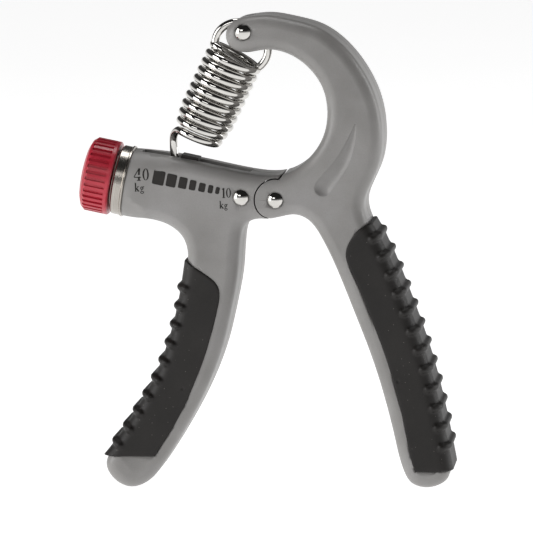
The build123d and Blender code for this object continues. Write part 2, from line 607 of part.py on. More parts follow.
# ---- knob and lead screw ----
def build_knob():
    """What turns with the knob: the knob, its cap and screw, the lead screw and its clip."""
    knob = barrel_turning([
        (SCREW_RADIUS, KNOB_NEAR), (KNOB_RADIUS - KNOB_CHAMFER, KNOB_NEAR),
        (KNOB_RADIUS, KNOB_NEAR - KNOB_CHAMFER), (KNOB_RADIUS, KNOB_NEAR - KNOB_SHOULDER),
        (KNOB_RADIUS - KNOB_BEND_DROP, KNOB_NEAR - KNOB_BEND), (KNOB_RADIUS - KNOB_RIM_DROP, KNOB_FAR),
        (CAP_RADIUS, KNOB_FAR), (CAP_RADIUS, KNOB_FAR + CAP_SEAT),
        (KNOB_WELL_RADIUS, KNOB_FAR + CAP_SEAT), (KNOB_WELL_RADIUS, KNOB_WELL_FLOOR),
        (SCREW_RADIUS, KNOB_WELL_FLOOR),
    ])
    flute = Box(2 * FLUTE_DEPTH, FLUTE_WIDTH, FLUTE_LENGTH, align=(Align.CENTER, Align.CENTER, Align.MAX))
    for i in range(FLUTE_COUNT):
        placed = Location((KNOB_RADIUS, 0, KNOB_NEAR - FLUTE_START)) * flute
        knob = knob - (barrel_plane(0) * Rotation(0, 0, 360 * i / FLUTE_COUNT) * placed)
    cap = barrel_turning([
        (0, KNOB_FAR - CAP_CROWN), (CAP_CROWN_RADIUS, KNOB_FAR - CAP_CROWN_EDGE), (CAP_RADIUS, KNOB_FAR),
        (CAP_RADIUS, KNOB_FAR + CAP_SEAT), (0, KNOB_FAR + CAP_SEAT),
    ])
    head_top = KNOB_WELL_FLOOR - FIXING_HEAD
    shank_end = KNOB_WELL_FLOOR + FIXING_LENGTH
    fixing = barrel_turning([
        (0, head_top), (FIXING_HEAD_RADIUS, head_top), (FIXING_HEAD_RADIUS, KNOB_WELL_FLOOR),
        (FIXING_RADIUS, KNOB_WELL_FLOOR), (FIXING_RADIUS, shank_end), (0, shank_end),
    ])
    thread = [(SCREW_RADIUS, THREAD_START)]
    for i in range(THREAD_COUNT):
        start = THREAD_START + SCREW_PITCH * i
        thread.append((SCREW_ROOT_RADIUS, start + SCREW_PITCH * THREAD_SHAPE[0]))
        thread.append((SCREW_ROOT_RADIUS, start + SCREW_PITCH * THREAD_SHAPE[1]))
        thread.append((SCREW_RADIUS, start + SCREW_PITCH * THREAD_SHAPE[2]))
        thread.append((SCREW_RADIUS, start + SCREW_PITCH))
    thread_end = THREAD_START + SCREW_PITCH * THREAD_COUNT
    tail = [(TAIL_JOURNAL_RADIUS, thread_end), (TAIL_JOURNAL_RADIUS, SCREW_END), (0, SCREW_END)]
    root = [(0, KNOB_WELL_FLOOR), (SCREW_RADIUS, KNOB_WELL_FLOOR)]
    lead_screw = barrel_turning(root + thread + tail)
    lead_screw = lead_screw - barrel_drum(FIXING_RADIUS, KNOB_WELL_FLOOR - PAST, shank_end)
    clip_start = -COLLAR_LENGTH + COLLAR_WALL + RUNNING_GAP
    clip_end = clip_start + CLIP_THICKNESS
    clip = barrel_drum(CLIP_RADIUS, clip_start, clip_end) - barrel_drum(SCREW_RADIUS, clip_start, clip_end)
    mouth = Box(2 * CLIP_RADIUS, CLIP_MOUTH, 4 * CLIP_THICKNESS,
                align=(Align.MIN, Align.CENTER, Align.CENTER))
    clip = clip - (barrel_plane(clip_start) * mouth)
    return {
        "adjust_knob": knob,
        "knob_cap": cap,
        "knob_screw": fixing,
        "lead_screw": lead_screw,
        "retaining_clip": clip,
    }


# ---- carriage ----
def build_carriage():
    """The nut that the lead screw draws along the barrel, and the pin that the spring hooks on."""
    half = SLOT_HALF - RUNNING_GAP
    nut = barrel_drum(NUT_RADIUS, NUT_START, NUT_END)
    ears = barrel_block(ANCHOR_ALONG - EAR_LEAD, POINTER_START, CARRIAGE_FLOOR, HOOK_ROOM_TOP, half)
    pointer = barrel_block(POINTER_START, POINTER_END, CARRIAGE_FLOOR, POINTER_TOP, half)
    room_start = ANCHOR_ALONG - HOOK_ROOM_LEAD
    hook_room = barrel_block(room_start, HOOK_ROOM_END, HOOK_ROOM_FLOOR, HOOK_ROOM_TOP, HOOK_ROOM_HALF)
    centre = along_barrel(ANCHOR_ALONG, ANCHOR_ABOVE)
    pin = drum((centre.X, centre.Z), ANCHOR_PIN_RADIUS, -half, half)
    nut = nut + ears + pointer - hook_room - pin
    nut = nut - barrel_drum(SCREW_RADIUS + NUT_CLEARANCE, room_start, POINTER_END + PAST)
    return {"carriage_nut": nut, "anchor_pin": pin}


# ---- spring ----
def spring_plane(down):
    """A plane across the coil, a given way down its axis; its local Z points down the axis."""
    lean = math.radians(SPRING_LEAN)
    heading = Vector(-math.sin(lean), 0, -math.cos(lean))
    origin = at(*SPRING_TOP) + heading * down
    return Plane(origin=origin, x_dir=(0, 1, 0), z_dir=heading)


def build_spring():
    """The spring's coil with its upper eye, and its lower hook, which is the same wire."""
    helix = Wire([Edge.make_helix(COIL_PITCH, COIL_PITCH * COIL_TURNS, COIL_RADIUS)])
    section = Wire.make_circle(WIRE_RADIUS, Plane(origin=helix @ 0, z_dir=helix % 0))
    coil = spring_plane(0) * Solid.sweep(Face(section), helix, is_frenet=True)

    def on_eye(degrees):
        angle = math.radians(degrees)
        return at(EYE_CENTRE[0] + EYE_RADIUS * math.cos(angle), EYE_CENTRE[1] + EYE_RADIUS * math.sin(angle))

    left, right = on_eye(EYE_LEFT), on_eye(EYE_RIGHT)
    eye = wire_along(Edge.make_three_point_arc(left, on_eye((EYE_LEFT + EYE_RIGHT) / 2), right))
    eye = eye + wire_along(Edge.make_line(right, left))
    for corner in (left, right):
        eye = eye + (Location(corner) * Sphere(WIRE_RADIUS))

    local_start = helix @ 1 + (helix % 1) * WIRE_BREAK
    foot_start = spring_plane(0).from_local_coords(local_start)
    anchor = along_barrel(ANCHOR_ALONG, ANCHOR_ABOVE)
    reach = ANCHOR_PIN_RADIUS + WIRE_RADIUS + RUNNING_GAP
    beside = Vector(anchor.X - reach, 0, anchor.Z + FOOT_STRAIGHT)
    lead = Edge.make_line(foot_start, beside)
    drop = Edge.make_line(beside, Vector(anchor.X - reach, 0, anchor.Z))
    below = Vector(anchor.X, 0, anchor.Z - reach)
    loop = Edge.make_three_point_arc(drop @ 1, below, Vector(anchor.X + reach, 0, anchor.Z))
    foot = wire_along(lead) + wire_along(Wire([drop, loop])) + (Location(beside) * Sphere(WIRE_RADIUS))
    return coil + eye, foot


def wire_along(path):
    """Round spring wire along a path."""
    section = Face(Wire.make_circle(WIRE_RADIUS, Plane(origin=path @ 0, z_dir=path % 0)))
    return Solid.sweep(section, Wire([path]) if isinstance(path, Edge) else path)


os.makedirs("parts", exist_ok=True)
pieces = {}
pieces.update(build_adjuster_handle())
pieces.update(build_knob())
pieces.update(build_carriage())
pieces.update(build_hook_handle())
pieces["spring_coil"], pieces["spring_foot"] = build_spring()
for name, piece in pieces.items():
    solids = [solid.moved(Location(FRAME_SHIFT)) for solid in piece.solids()]
    placed = solids[0] if len(solids) == 1 else Compound(children=solids)
    export_step(placed, f"parts/{name}.step")
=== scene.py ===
import json
from math import atan2, cos, hypot, pi, radians, sin

import bmesh
import bpy
from mathutils import Matrix, Vector
from mathutils.bvhtree import BVHTree


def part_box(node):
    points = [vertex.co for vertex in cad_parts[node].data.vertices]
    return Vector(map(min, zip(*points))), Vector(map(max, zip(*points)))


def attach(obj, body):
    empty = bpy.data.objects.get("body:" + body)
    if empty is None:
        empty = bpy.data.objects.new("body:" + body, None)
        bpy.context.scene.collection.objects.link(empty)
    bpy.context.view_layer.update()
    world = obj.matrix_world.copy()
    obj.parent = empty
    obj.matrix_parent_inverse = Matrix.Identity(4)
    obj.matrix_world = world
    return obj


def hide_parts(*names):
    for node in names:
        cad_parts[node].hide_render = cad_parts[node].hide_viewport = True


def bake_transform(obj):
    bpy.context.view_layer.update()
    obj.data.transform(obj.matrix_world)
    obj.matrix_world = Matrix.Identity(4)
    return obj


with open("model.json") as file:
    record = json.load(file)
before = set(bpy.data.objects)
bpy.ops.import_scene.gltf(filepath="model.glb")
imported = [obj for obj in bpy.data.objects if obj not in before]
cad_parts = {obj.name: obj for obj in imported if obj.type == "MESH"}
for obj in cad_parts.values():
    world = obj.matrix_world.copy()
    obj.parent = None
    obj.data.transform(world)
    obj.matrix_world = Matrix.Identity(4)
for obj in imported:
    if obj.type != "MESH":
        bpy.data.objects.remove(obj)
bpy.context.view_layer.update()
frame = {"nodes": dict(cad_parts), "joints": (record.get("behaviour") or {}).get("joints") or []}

mm = 0.001
weld = 0.002 * mm                                  # vertices nearer than this are one
frontView = Matrix.Rotation(radians(90), 4, "X")   # stands a flat drawing up, facing the front
print("frame loaded")


# adds a node with its values and links, a colour ramp's stops, and the socket that its output feeds
def addNode(tree, kind, values=None, links=None, stops=None, feeds=None, **settings):
    node = tree.nodes.new(kind)
    for name, value in settings.items():
        setattr(node, name, value)
    for name, value in (values or {}).items():
        node.inputs[name].default_value = value
    for name, socket in (links or {}).items():
        tree.links.new(socket, node.inputs[name])
    if stops:
        elements = node.color_ramp.elements
        elements[0].position, elements[0].color = stops[0]
        elements[1].position, elements[1].color = stops[-1]
        for position, colour in stops[1:-1]:
            elements.new(position).color = colour
    if feeds:
        output = next(socket for socket in node.outputs if socket.enabled)
        tree.links.new(output, feeds)
    return node


def srgb(code):
    parts = [int(code[i:i + 2], 16) / 255 for i in (1, 3, 5)]
    linear = [c / 12.92 if c <= 0.04045 else ((c + 0.055) / 1.055) ** 2.4 for c in parts]
    return (*linear, 1.0)


def grey(level):
    return (level, level, level, 1.0)


def newMaterial(name, fixed):
    material = bpy.data.materials.new(name)
    material.use_nodes = True
    tree = material.node_tree
    tree.nodes.clear()
    shader = addNode(tree, "ShaderNodeBsdfPrincipled", fixed)
    addNode(tree, "ShaderNodeOutputMaterial", links={"Surface": shader.outputs["BSDF"]})
    place = addNode(tree, "ShaderNodeTexCoord").outputs["Object"]
    return material, tree, shader, place


# moulded ABS with a satin silver-grey paint: soft broad highlights over a very fine grain
# (here and in the finishes below, a pattern's sizes are in millimetres)
shellPaint = dict(ior=1.5, base="#8f8d8b", light="#979594", dark="#858381", roughness=0.4,
                  cloud=14.0, grain=0.22, grainHeight=0.008, fleck=0.93)


def satinPaintedAbs():
    look = shellPaint
    material, tree, shader, place = newMaterial("satinPaintedAbs", {"IOR": look["ior"]})
    cloud = addNode(tree, "ShaderNodeTexNoise", {"Scale": 1 / (look["cloud"] * mm), "Detail": 3.0},
                    {"Vector": place}).outputs["Fac"]
    grain = addNode(tree, "ShaderNodeTexNoise", {"Scale": 1 / (look["grain"] * mm), "Detail": 4.0},
                    {"Vector": place}).outputs["Fac"]
    tint = addNode(tree, "ShaderNodeValToRGB", links={"Fac": cloud},
                   stops=[(0.3, srgb(look["dark"])), (0.5, srgb(look["base"])), (0.7, srgb(look["light"]))])
    fleck = addNode(tree, "ShaderNodeValToRGB", links={"Fac": grain},
                    stops=[(0.35, grey(look["fleck"])), (0.65, grey(1.0))])
    addNode(tree, "ShaderNodeMix", {"Factor": 1.0}, {"A": tint.outputs["Color"], "B": fleck.outputs["Color"]},
            feeds=shader.inputs["Base Color"], data_type="RGBA", blend_type="MULTIPLY")
    addNode(tree, "ShaderNodeValToRGB", links={"Fac": cloud}, feeds=shader.inputs["Roughness"],
            stops=[(0.35, grey(look["roughness"] - 0.03)), (0.65, grey(look["roughness"] + 0.05))])
    addNode(tree, "ShaderNodeBump", {"Strength": 0.5, "Distance": look["grainHeight"] * mm},
            {"Height": grain}, feeds=shader.inputs["Normal"])
    return material


# black thermoplastic rubber, moulded over the handle: a dull sheen, a pebbled grain, specks of dust
rubber = dict(ior=1.42, base="#171412", light="#1f1c1a", dust="#8a8580", roughness=0.52,
              cloud=11.0, grain=0.35, grainHeight=0.02, speck=1.6, speckShare=0.55)


def mouldedRubber():
    look = rubber
    material, tree, shader, place = newMaterial("mouldedRubber", {"IOR": look["ior"]})
    cloud = addNode(tree, "ShaderNodeTexNoise", {"Scale": 1 / (look["cloud"] * mm), "Detail": 3.0},
                    {"Vector": place}).outputs["Fac"]
    grain = addNode(tree, "ShaderNodeTexNoise", {"Scale": 1 / (look["grain"] * mm), "Detail": 3.0},
                    {"Vector": place}).outputs["Fac"]
    specks = addNode(tree, "ShaderNodeTexVoronoi", {"Scale": 1 / (look["speck"] * mm)},
                     {"Vector": place}).outputs["Distance"]
    tint = addNode(tree, "ShaderNodeValToRGB", links={"Fac": cloud},
                   stops=[(0.35, srgb(look["base"])), (0.7, srgb(look["light"]))])
    dusty = addNode(tree, "ShaderNodeValToRGB", links={"Fac": specks},
                    stops=[(0.045, grey(look["speckShare"])), (0.075, grey(0.0))])
    addNode(tree, "ShaderNodeMix", {"B": srgb(look["dust"])},
            {"Factor": dusty.outputs["Color"], "A": tint.outputs["Color"]},
            feeds=shader.inputs["Base Color"], data_type="RGBA")
    addNode(tree, "ShaderNodeValToRGB", links={"Fac": grain}, feeds=shader.inputs["Roughness"],
            stops=[(0.3, grey(look["roughness"] - 0.05)), (0.7, grey(look["roughness"] + 0.06))])
    addNode(tree, "ShaderNodeBump", {"Strength": 0.5, "Distance": look["grainHeight"] * mm},
            {"Height": grain}, feeds=shader.inputs["Normal"])
    return material


# turned steel ferrule: bright metal with fine lathe rings round the barrel's axis
ferrule = dict(base="#b5b0a9", groove="#9a958f", roughness=0.2, grooveRoughness=0.28,
               ring=0.18, ringHeight=0.004)


def turnedSteel(axis):
    look = ferrule
    material, tree, shader, place = newMaterial("turnedSteel", {"Metallic": 1.0})
    along = addNode(tree, "ShaderNodeVectorMath", {1: tuple(axis)}, {0: place}, operation="DOT_PRODUCT")
    count = addNode(tree, "ShaderNodeMath", {1: 1 / (look["ring"] * mm)}, {0: along.outputs["Value"]},
                    operation="MULTIPLY")
    rings = addNode(tree, "ShaderNodeTexNoise", {"Scale": 1.0, "Detail": 2.0}, {"W": count.outputs["Value"]},
                    noise_dimensions="1D").outputs["Fac"]
    addNode(tree, "ShaderNodeValToRGB", links={"Fac": rings}, feeds=shader.inputs["Base Color"],
            stops=[(0.3, srgb(look["groove"])), (0.6, srgb(look["base"]))])
    addNode(tree, "ShaderNodeValToRGB", links={"Fac": rings}, feeds=shader.inputs["Roughness"],
            stops=[(0.3, grey(look["grooveRoughness"])), (0.7, grey(look["roughness"]))])
    addNode(tree, "ShaderNodeBump", {"Strength": 0.5, "Distance": look["ringHeight"] * mm},
            {"Height": rings}, feeds=shader.inputs["Normal"])
    return material


# the plain finishes: a tint that drifts over the cloud's size, a roughness and a bump at the grain's size
plainFinishes = {
    # glossy red ABS with faint flow clouds
    "glossyRedAbs": dict(sockets={"IOR": 1.5}, base="#ab2434", light="#bd3343", roughness=0.3,
                         cloud=6.0, grain=0.3, height=0.006),
    # bright nickel-chrome on steel: a near mirror with a trace of haze
    "brightChrome": dict(sockets={"Metallic": 1.0}, base="#cbc9c5", light="#d6d4d0", roughness=0.07,
                         cloud=5.0, grain=0.5, height=0.001),
    # zinc-plated steel: dull and slightly mottled
    "zincPlate": dict(sockets={"Metallic": 1.0}, base="#8f8f8c", light="#a5a5a0", roughness=0.36,
                      cloud=3.0, grain=0.4, height=0.004),
    # dark acetal: a waxy near-black
    "darkAcetal": dict(sockets={"IOR": 1.48}, base="#2b2825", light="#383430", roughness=0.42,
                       cloud=4.0, grain=0.3, height=0.006),
    # natural nylon, for the washers: milky and waxy
    "naturalNylon": dict(sockets={"IOR": 1.53}, base="#d6d2c4", light="#e2dfd3", roughness=0.4,
                         cloud=4.0, grain=0.3, height=0.005),
    # oil-filled sintered bronze: a dull brown with a grainy surface
    "sinteredBronze": dict(sockets={"Metallic": 1.0}, base="#8c6a3c", light="#a07c49", roughness=0.45,
                           cloud=2.0, grain=0.2, height=0.01),
    # painted shade: a dark film standing in for the shade in the narrow gap round a rivet's head
    "paintedGapShade": dict(sockets={"IOR": 1.5}, base="#3b3937", light="#454341", roughness=0.6,
                           cloud=2.0, grain=0.3, height=0.004),
    # pad-printed ink, a thin matt film
    "padPrintInk": dict(sockets={"IOR": 1.45}, base="#14100d", light="#1c1713", roughness=0.5,
                        cloud=2.0, grain=0.25, height=0.003),
}


def plainFinish(name):
    look = plainFinishes[name]
    material, tree, shader, place = newMaterial(name, look["sockets"])
    cloud = addNode(tree, "ShaderNodeTexNoise", {"Scale": 1 / (look["cloud"] * mm), "Detail": 3.0},
                    {"Vector": place}).outputs["Fac"]
    grain = addNode(tree, "ShaderNodeTexNoise", {"Scale": 1 / (look["grain"] * mm), "Detail": 4.0},
                    {"Vector": place}).outputs["Fac"]
    addNode(tree, "ShaderNodeValToRGB", links={"Fac": cloud}, feeds=shader.inputs["Base Color"],
            stops=[(0.35, srgb(look["base"])), (0.7, srgb(look["light"]))])
    addNode(tree, "ShaderNodeValToRGB", links={"Fac": grain}, feeds=shader.inputs["Roughness"],
            stops=[(0.3, grey(look["roughness"] * 0.85)), (0.7, grey(look["roughness"] * 1.2))])
    addNode(tree, "ShaderNodeBump", {"Strength": 0.4, "Distance": look["height"] * mm},
            {"Height": grain}, feeds=shader.inputs["Normal"])
    return material


# the barrel's axis and the direction square to it, from the knob's joint
knobJoint = next(joint for joint in frame["joints"] if joint["name"] == "knob_turn")
barrelAxis = Vector(knobJoint["axis"]).normalized()
barrelStart = Vector(knobJoint["pos_m"])
barrelUp = Vector((-barrelAxis.z, 0, barrelAxis.x))


def onBarrel(along, above):
    return barrelStart + barrelAxis * along * mm + barrelUp * above * mm


paint = satinPaintedAbs()
rubberFinish = mouldedRubber()
steelRings = turnedSteel(barrelAxis)
redAbs, chrome, zinc, acetal, nylon, bronze, paintedShadeFinish, ink = [plainFinish(name) for name in plainFinishes]
print("materials made")

finishes = {
    "adjust_knob": redAbs, "knob_cap": redAbs, "end_collar": steelRings,
    "thrust_washer": nylon, "pivot_washers": nylon, "screw_tail_bush": bronze, "pivot_bush": bronze,
    "hinge_plate": zinc, "lead_screw": zinc, "retaining_clip": zinc, "knob_screw": zinc,
    "anchor_pin": zinc, "adjuster_screw": zinc, "hook_screws": zinc,
    "body_rivet": chrome, "pivot_rivet": chrome, "tip_rivet": chrome, "carriage_nut": acetal,
}
for nodeName, finish in finishes.items():
    mesh = frame["nodes"][nodeName].data
    mesh.materials.clear()
    mesh.materials.append(finish)


def mergedCopy(nodeName):
    bm = bmesh.new()
    bm.from_mesh(frame["nodes"][nodeName].data)
    bmesh.ops.remove_doubles(bm, verts=bm.verts, dist=weld)
    return bm


def asObject(name, data):
    piece = bpy.data.objects.new(name, data)
    bpy.context.scene.collection.objects.link(piece)
    return piece


# the mesh of an object as its modifiers or bevel leave it; the object itself goes
def appliedMesh(piece):
    graph = bpy.context.evaluated_depsgraph_get()
    mesh = bpy.data.meshes.new_from_object(piece.evaluated_get(graph))
    bpy.data.objects.remove(piece)
    bm = bmesh.new()
    bm.from_mesh(mesh)
    bpy.data.meshes.remove(mesh)
    return bm


def finishedMesh(name, bm, material, body, sharp=40):   # a body of None is for a blend
    mesh = bpy.data.meshes.new(name)
    bm.to_mesh(mesh)
    bm.free()
    mesh.materials.clear()
    mesh.materials.append(material)
    mesh.polygons.foreach_set("use_smooth", [True] * len(mesh.polygons))
    mesh.set_sharp_from_angle(angle=radians(sharp))
    piece = asObject(name, mesh)
    if body:
        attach(piece, body)
    return piece


# shells: the moulded halves, with a fine parting groove where they meet at the middle plane
shells = dict(grooveWide=0.3, grooveDeep=0.22, sharp=28, sides={"front": -1, "back": 1})


def seamedShell(handle, half):
    nodeName = handle + "_shell_" + half
    edge = shells["sides"][half] * shells["grooveWide"] * mm
    bm = mergedCopy(nodeName)
    everything = bm.verts[:] + bm.edges[:] + bm.faces[:]
    bmesh.ops.bisect_plane(bm, geom=everything, dist=weld / 2, plane_no=(0, 1, 0), plane_co=(0, edge, 0))
    bm.normal_update()
    moves = []
    for v in bm.verts:                                     # the middle plane's vertices go in, off the walls
        walls = [face.normal for face in v.link_faces if abs(face.normal.y) < 0.5]
        if abs(v.co.y) < weld and walls:
            outward = sum(walls, Vector())
            outward.y = 0
            if outward.length > 0.001:
                moves.append((v, outward.normalized() * shells["grooveDeep"] * mm))
    for v, move in moves:
        v.co -= move
    piece = finishedMesh(nodeName + "_seamed", bm, paint, handle + "_handle", shells["sharp"])
    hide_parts(nodeName)
    weigh = piece.modifiers.new("weigh", "WEIGHTED_NORMAL")
    weigh.keep_sharp = True


for handle in ("adjuster", "hook"):
    for half in shells["sides"]:
        seamedShell(handle, half)
print("shells seamed")

# grips: the rubber, with its ribs melted into it as they leave a mould, and a dimple where it was fed
grips = dict(voxel=0.32, relax=0.5, passes=5, sharp=60, dimple=0.45, dimpleDeep=0.3,
             gates={"hook": (37.1, 30.5), "adjuster": (-23.0, 28.5)})


def softGrip(handle):
    nodeName = handle + "_grip"
    mesh = bpy.data.meshes.new(nodeName + "Block")
    bm = mergedCopy(nodeName)
    bm.to_mesh(mesh)
    bm.free()
    block = asObject(nodeName + "Block", mesh)
    melt = block.modifiers.new("melt", "REMESH")
    melt.mode = "VOXEL"
    melt.voxel_size = grips["voxel"] * mm
    relax = block.modifiers.new("relax", "SMOOTH")
    relax.factor = grips["relax"]
    relax.iterations = grips["passes"]
    bm = appliedMesh(block)
    x, z = grips["gates"][handle]
    for v in bm.verts:
        away = hypot(v.co.x / mm - x, v.co.z / mm - z) / grips["dimple"]
        if away < 1 and v.co.y < 0:
            v.co.y += grips["dimpleDeep"] * mm * (1 - away ** 2)
    piece = finishedMesh(nodeName + "_soft", bm, rubberFinish, handle + "_handle",
                         grips["sharp"])
    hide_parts(nodeName)


for handle in grips["gates"]:
    softGrip(handle)
print("grips softened")

# spring: one wire from its eye, down the coil, to the hook in the barrel. Wire is the wire's radius, and
# angles run in degrees down the coil. The coil leans to the left and narrows over its last turns. Each
# joining point is a share of the way from the eye to the coil, a drop down the coil and a shift to the
# back. Each hook point is a distance from the leg, one to the back, and one up from the pin.
spring = dict(wire=1.15, sharp=60, coil=7.15, smallCoil=5.9, taper=2.5, pitch=2.56, lean=26.9,
              top=(-7.42, 119.9), coilStart=-90, coilEnd=3480, perTurn=26,
              eye=(-5.53, 122.7), eyeWide=7.6, eyeTall=6.7, eyeLeft=212.0, eyeRight=-40.0, eyeSteps=24,
              joining=[(0.1, 0.9, -0.3), (0.35, 0.5, -1.0), (0.6, 0.2, -1.8), (0.85, 0.0, -1.8)],
              leg=-24.9, hook=[(0.9, -1.9, 9.8), (-0.1, -0.9, 8.9), (-0.4, -0.2, 7.3), (-0.4, 0, 5.0),
                               (-0.1, 0, 2.4)],
              pin=(14.15, 7.7), pinReach=2.3, pinWrap=189, pinSteps=8)


def springPoints():
    lean = radians(spring["lean"])
    down = Vector((-sin(lean), 0, -cos(lean)))
    right = Vector((cos(lean), 0, -sin(lean)))
    back = Vector((0, 1, 0))
    top = Vector((spring["top"][0], 0, spring["top"][1]))
    eye = Vector((spring["eye"][0], 0, spring["eye"][1]))
    points = []
    sweep = spring["eyeRight"] - spring["eyeLeft"]
    for i in range(spring["eyeSteps"] + 1):                # the eye, from its left side over the top
        turn = radians(spring["eyeLeft"] + sweep * i / spring["eyeSteps"])
        points.append(eye + right * spring["eyeWide"] * cos(turn) - down * spring["eyeTall"] * sin(turn))
    eyeEnd = points[-1]
    startTurn, endTurn = spring["coilStart"], spring["coilEnd"]
    coilTop = top + down * spring["pitch"] * startTurn / 360 - right * spring["coil"]
    for share, drop, shift in spring["joining"]:
        points.append(eyeEnd.lerp(coilTop, share) + down * drop + back * shift)
    steps = int((endTurn - startTurn) / 360 * spring["perTurn"])
    for i in range(steps + 1):
        turn = startTurn + (endTurn - startTurn) * i / steps
        narrowing = max(0.0, 1 - (endTurn - turn) / 360 / spring["taper"])
        radius = spring["coil"] + (spring["smallCoil"] - spring["coil"]) * narrowing
        points.append(top + down * spring["pitch"] * turn / 360
                      + back * radius * cos(radians(turn)) + right * radius * sin(radians(turn)))
    pin = onBarrel(*spring["pin"]) / mm
    for side, shift, above in spring["hook"]:              # off the coil, over and down into the slot
        points.append(Vector((spring["leg"] + side, shift, pin.z + above)))
    for i in range(spring["pinSteps"] + 1):                # under the pin and up its far side
        angle = pi + radians(spring["pinWrap"]) * i / spring["pinSteps"]
        points.append(Vector((pin.x + spring["pinReach"] * cos(angle), 0,
                              pin.z + spring["pinReach"] * sin(angle))))
    return [point * mm for point in points]


def wireMesh(name, points, radius):
    curve = bpy.data.curves.new(name, "CURVE")
    curve.dimensions = "3D"
    curve.bevel_depth = radius
    curve.bevel_resolution = 5
    curve.resolution_u = 3
    curve.use_fill_caps = True
    line = curve.splines.new("NURBS")
    line.points.add(len(points) - 1)
    for point, spot in zip(line.points, points):
        point.co = (*spot, 1.0)
    line.order_u = 4
    line.use_endpoint_u = True
    return appliedMesh(asObject(name, curve))


springWire = finishedMesh("spring_wire", wireMesh("springLine", springPoints(), spring["wire"] * mm),
                          chrome, None, spring["sharp"])
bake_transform(springWire)
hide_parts("spring_coil", "spring_foot")
print("spring made")

# printed scale: bars that shrink towards the light end, with serifed figures, as flat film
# bars are x, z, width and height, and words are text, x, z, height and width, in millimetres
scale = dict(film=0.04, tilt=12.9, corner=0.42, signGap=0.12, castFrom=-20.0,
             bars=[(-28.13, 87.62, 3.3, 4.0), (-24.63, 86.82, 2.8, 3.6), (-21.43, 86.12, 2.35, 3.2),
                   (-18.73, 85.47, 1.85, 2.85), (-16.13, 84.82, 1.85, 2.5), (-13.78, 84.32, 1.4, 2.3),
                   (-11.83, 83.92, 1.15, 2.0)],
             words=[("40", -33.03, 88.52, 3.4, 4.3), ("kg", -33.6, 84.75, 3.1, 2.7),
                    ("10", -9.33, 83.22, 2.8, 2.5), ("kg", -10.2, 79.7, 2.7, 2.3)])
# each sign is drawn about one high: strokes are start, end and width, and rings are centre, outer radii,
# and the ring's widths at its sides and its top. Advance is how far the next sign starts.
signs = {
    "4": dict(advance=0.62, rings=[],
              strokes=[((0.0, 0.30), (0.42, 1.0), 0.08), ((0.0, 0.27), (0.62, 0.27), 0.08),
                       ((0.43, 1.0), (0.43, 0.0), 0.17), ((0.26, 0.0), (0.6, 0.0), 0.06)]),
    "0": dict(advance=0.56, strokes=[], rings=[((0.28, 0.5), (0.28, 0.5), 0.15, 0.05)]),
    "1": dict(advance=0.34, rings=[],
              strokes=[((0.19, 1.0), (0.19, 0.0), 0.18), ((0.02, 0.0), (0.36, 0.0), 0.06),
                       ((0.04, 0.86), (0.19, 0.98), 0.08)]),
    "k": dict(advance=0.72, rings=[],
              strokes=[((0.14, 1.25), (0.14, 0.0), 0.2), ((0.0, 0.0), (0.3, 0.0), 0.09),
                       ((0.0, 1.23), (0.14, 1.23), 0.09), ((0.18, 0.3), (0.54, 0.68), 0.09),
                       ((0.42, 0.7), (0.68, 0.7), 0.09), ((0.28, 0.42), (0.6, 0.0), 0.22),
                       ((0.42, 0.0), (0.74, 0.0), 0.09)]),
    "g": dict(advance=0.66,
              rings=[((0.29, 0.45), (0.25, 0.25), 0.17, 0.09), ((0.31, -0.17), (0.3, 0.21), 0.13, 0.1)],
              strokes=[((0.44, 0.62), (0.66, 0.7), 0.12), ((0.16, 0.2), (0.2, 0.06), 0.1)]),
}


def addStroke(bm, start, end, wide):
    run = Vector(end) - Vector(start)
    middle = (Vector(start) + Vector(end)) / 2
    made = bmesh.ops.create_grid(bm, x_segments=4, y_segments=1, size=0.5)["verts"]
    bmesh.ops.scale(bm, verts=made, vec=(run.length, wide, 1))
    bmesh.ops.rotate(bm, verts=made, cent=(0, 0, 0), matrix=Matrix.Rotation(atan2(run.y, run.x), 3, "Z"))
    bmesh.ops.translate(bm, verts=made, vec=(*middle, 0))


def addRing(bm, centre, radii, sideWide, topWide):
    rims = []
    for wide, tall in (radii, (radii[0] - sideWide, radii[1] - topWide)):
        made = bmesh.ops.create_circle(bm, segments=28, radius=1.0, cap_ends=False)["verts"]
        bmesh.ops.scale(bm, verts=made, vec=(wide, tall, 1))
        bmesh.ops.translate(bm, verts=made, vec=(*centre, 0))
        rims += [edge for edge in bm.edges if edge.verts[0] in made and edge.verts[1] in made]
    bmesh.ops.bridge_loops(bm, edges=rims)


def addPart(bm, part, place):
    bmesh.ops.transform(part, matrix=place, verts=part.verts)
    mesh = bpy.data.meshes.new("part")
    part.to_mesh(mesh)
    part.free()
    bm.from_mesh(mesh)
    bpy.data.meshes.remove(mesh)


# lays the film on one side of a handle on to that side's shell, and turns its faces outward
def layFilm(bm, handle, half, lift):
    side = shells["sides"][half]
    shell = mergedCopy(handle + "_shell_" + half)
    surface = BVHTree.FromBMesh(shell)
    shell.free()
    for v in bm.verts:
        if v.co.y * side > 0:
            hit = surface.ray_cast(v.co, Vector((0, -side, 0)))[0]
            v.co.y = hit.y + side * lift * mm
    bm.normal_update()
    for face in bm.faces:
        if face.calc_center_median().y * side > 0 and face.normal.y * side < 0:
            face.normal_flip()


